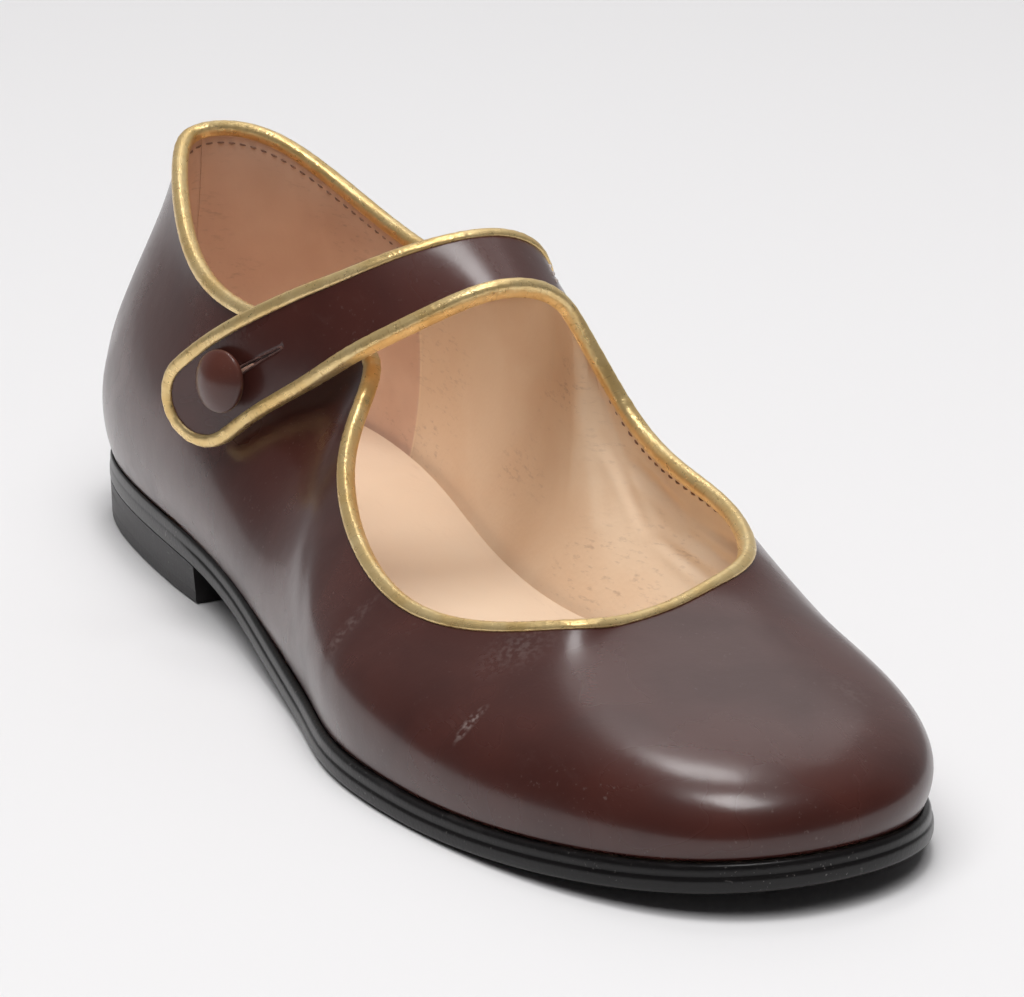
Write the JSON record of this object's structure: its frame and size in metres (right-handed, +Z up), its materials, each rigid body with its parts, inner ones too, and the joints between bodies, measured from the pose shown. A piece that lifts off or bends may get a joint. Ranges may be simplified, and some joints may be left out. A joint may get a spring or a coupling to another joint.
{
  "type": "mary jane shoe",
  "caption": "Right mary jane shoe in dark brown leather with a round toe, low heel, gold bound edges and an instep strap that buttons on the outer side.",
  "frame": {"origin": "on the floor under the middle of the shoe's box, with the heel and the tread standing on z = 0", "axes": "+X from the heel to the toe, +Y to the inner side of the foot, +Z up"},
  "size_m": [0.243, 0.0826, 0.0721],
  "materials": {
    "upper": "polished",
    "binding": "metallic gold, creased",
    "lining": "matte",
    "sole": "waxed edge",
    "heel": "satin"
  },
  "bodies": {
    "root": {"outsole": "sole", "heel": "heel", "insole": "lining", "upper": "upper", "topline_binding": "binding", "strap": "upper", "strap_binding": "binding", "button": "upper"}
  },
  "joints": []
}
